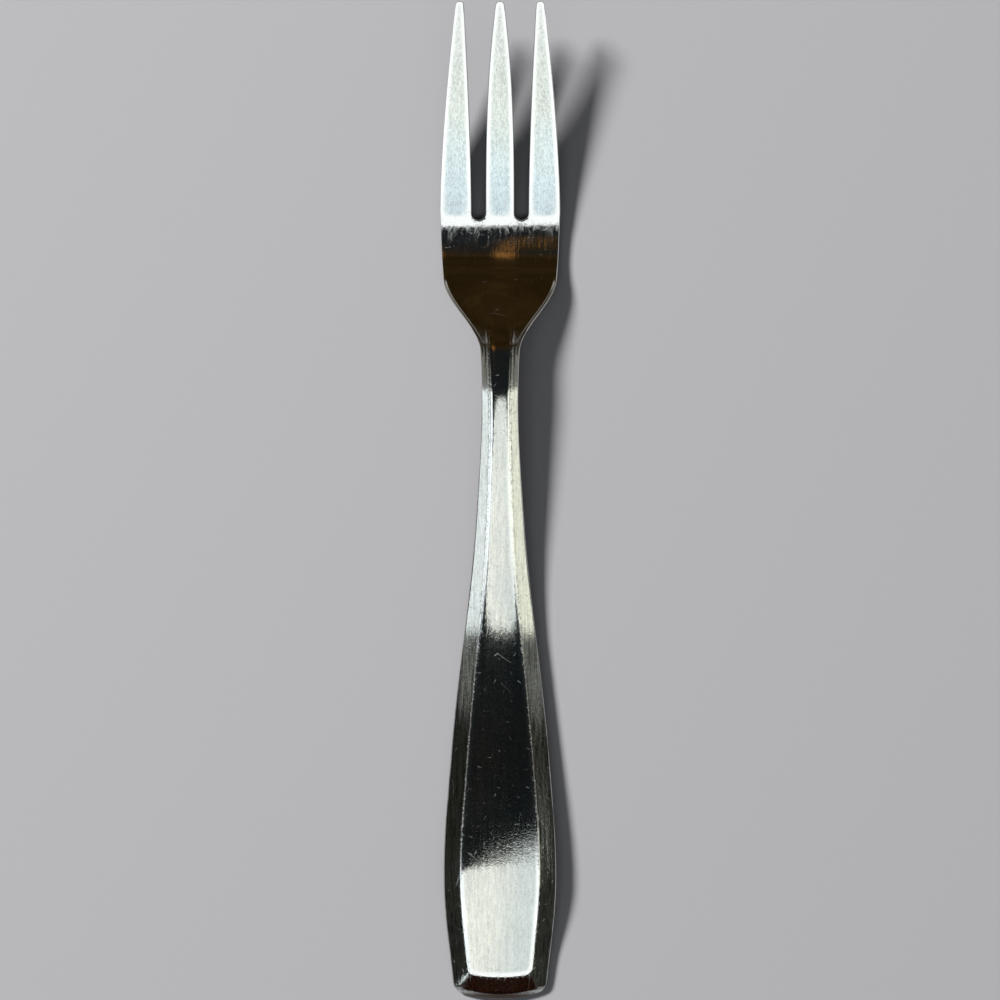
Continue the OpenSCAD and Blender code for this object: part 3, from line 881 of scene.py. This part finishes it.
def hangSoftbox(name, shape, side, edge, deep, wide, turned, colour):
    lamp = bpy.data.lights.new(name, "AREA")
    lamp.shape = shape
    lamp.size, lamp.size_y = wide, deep
    area = wide * deep * (math.pi / 4 if shape == "ELLIPSE" else 1)
    lamp.energy = light["glow"] * math.pi * area
    lamp.color = colour
    box = bpy.data.objects.new(name, lamp)
    box.location = (side, edge - deep / 2, light["hung"])
    box.rotation_euler.z = math.radians(turned)
    box.visible_camera = False
    scene.collection.objects.link(box)


def hangKey():
    lamp = bpy.data.lights.new("keyLamp", "AREA")
    lamp.shape = "DISK"
    lamp.size = light["keySize"]
    lamp.energy = light["keyLight"] * math.pi * light["keyFar"] ** 2
    lamp.color = light["keyColour"]
    key = bpy.data.objects.new("keyLamp", lamp)
    towards = Vector(light["keyFrom"]).normalized()
    key.location = towards * light["keyFar"]
    key.rotation_euler = towards.to_track_quat("Z", "Y").to_euler()
    key.visible_camera = False
    key.visible_glossy = False
    scene.collection.objects.link(key)


# What the steel shows: a pale studio with a dark cross on its ceiling. The cross is brown ahead, with one
# amber glint, and reddish behind. The table only gets a plain dim fill from it.
# Each fade says where along the direction seen something starts and where it is full.
studio = {
    "horizon": (0.5, 0.51, 0.53, 1), "upper": (0.3, 0.305, 0.31, 1), "upperFade": (0.15, 0.75),
    "leftSide": (0.026, 0.027, 0.0225, 1), "rightSide": (0.037, 0.038, 0.032, 1), "rightFade": (-0.2, 0.2),
    "zenith": (0.0085, 0.0105, 0.0115, 1), "haze": (0.2, 0.205, 0.19, 1), "hazeFade": (0.96, 0.91),
    "sideFade": (0.89, 0.83),
    "ahead": (0.03, 0.018, 0.0055, 1), "aheadDeep": (0.013, 0.0075, 0.0025, 1), "aheadFade": (0.07, 0.23),
    "mottleStretch": 2.0, "mottleFade": (0.35, 0.65),
    "amber": (0.24, 0.11, 0.028, 1), "glint": {"centre": (-0.088, 0.18, 0.0), "wide": 0.05, "high": 0.1},
    "behind": (0.0195, 0.0063, 0.0027, 1), "behindFade": (-0.38, -0.46),
    "alongWidth": (-0.35, 0.0, 0.27, 0.21), "alongSoft": 0.14, "alongFade": (0.56, 0.7),
    "acrossShift": 0.1, "acrossWidth": (0.32, 0.48), "acrossFade": (0.6, 0.74),
    "fill": (0.07, 0.07, 0.075, 1),
}


def paintWorld():
    world = bpy.data.worlds.new("studio")
    world.use_nodes = True
    tree = world.node_tree
    tree.nodes.clear()
    sky = put(tree, "ShaderNodeBackground")
    feed(tree, put(tree, "ShaderNodeOutputWorld").inputs["Surface"], sky.outputs[0])
    x, y, z = split(tree, put(tree, "ShaderNodeTexCoord").outputs["Generated"])
    pale = tint(tree, remap(tree, z, *studio["upperFade"], smooth=True), studio["horizon"], studio["upper"])
    sides = tint(tree, remap(tree, x, *studio["rightFade"]), studio["leftSide"], studio["rightSide"])
    dark = tint(tree, remap(tree, z, *studio["hazeFade"], smooth=True), studio["zenith"], studio["haze"])
    dark = tint(tree, remap(tree, z, *studio["sideFade"], smooth=True), dark, sides)
    mottle = noise(tree, join(tree, x, times(tree, y, studio["mottleStretch"]), z), scale=9.0, detail=3.0)
    brown = tint(tree, remap(tree, mottle, *studio["mottleFade"]), studio["ahead"], studio["aheadDeep"])
    dark = tint(tree, remap(tree, y, *studio["aheadFade"], smooth=True), dark, brown)
    glint = use(tree, "spot", place=join(tree, x, y, 0.0), **studio["glint"])
    dark = tint(tree, glint["Spot"], dark, studio["amber"])
    dark = tint(tree, remap(tree, y, *studio["behindFade"], smooth=True), dark, studio["behind"])
    width = remap(tree, y, *studio["alongWidth"])
    along = until(tree, calc(tree, "ABSOLUTE", x), width, calc(tree, "ADD", width, studio["alongSoft"]))
    along = times(tree, along, remap(tree, z, *studio["alongFade"], smooth=True))
    fromMiddle = calc(tree, "ABSOLUTE", calc(tree, "ADD", y, studio["acrossShift"]))
    across = times(tree, until(tree, fromMiddle, *studio["acrossWidth"]),
                   remap(tree, z, *studio["acrossFade"], smooth=True))
    shown = tint(tree, calc(tree, "MAXIMUM", along, across), pale, dark)
    path = put(tree, "ShaderNodeLightPath").outputs
    seen = calc(tree, "MAXIMUM", path["Is Glossy Ray"], path["Is Camera Ray"])
    feed(tree, sky.inputs["Color"], tint(tree, seen, studio["fill"], shown))
    scene.world = world


hangSoftbox("softbox", "ELLIPSE", **light["box"])
hangSoftbox("leftStrip", "RECTANGLE", **light["leftStrip"])
hangSoftbox("rightStrip", "RECTANGLE", **light["rightStrip"])
hangKey()
paintWorld()
print("lights hung")

# Camera: straight above. The scale is the width of the picture on the table in metres.
view = {"height": 2.4, "along": 0.00015, "scale": 0.1567, "sensor": 36.0, "nearest": 0.01}
camera = bpy.data.cameras.new("camera")
camera.sensor_width = view["sensor"]
camera.lens = view["sensor"] * view["height"] / view["scale"]
camera.clip_start = view["nearest"]
cameraObject = bpy.data.objects.new("camera", camera)
cameraObject.location = (0, view["along"], view["height"])
scene.collection.objects.link(cameraObject)
scene.camera = cameraObject
scene.view_settings.view_transform = "Standard"
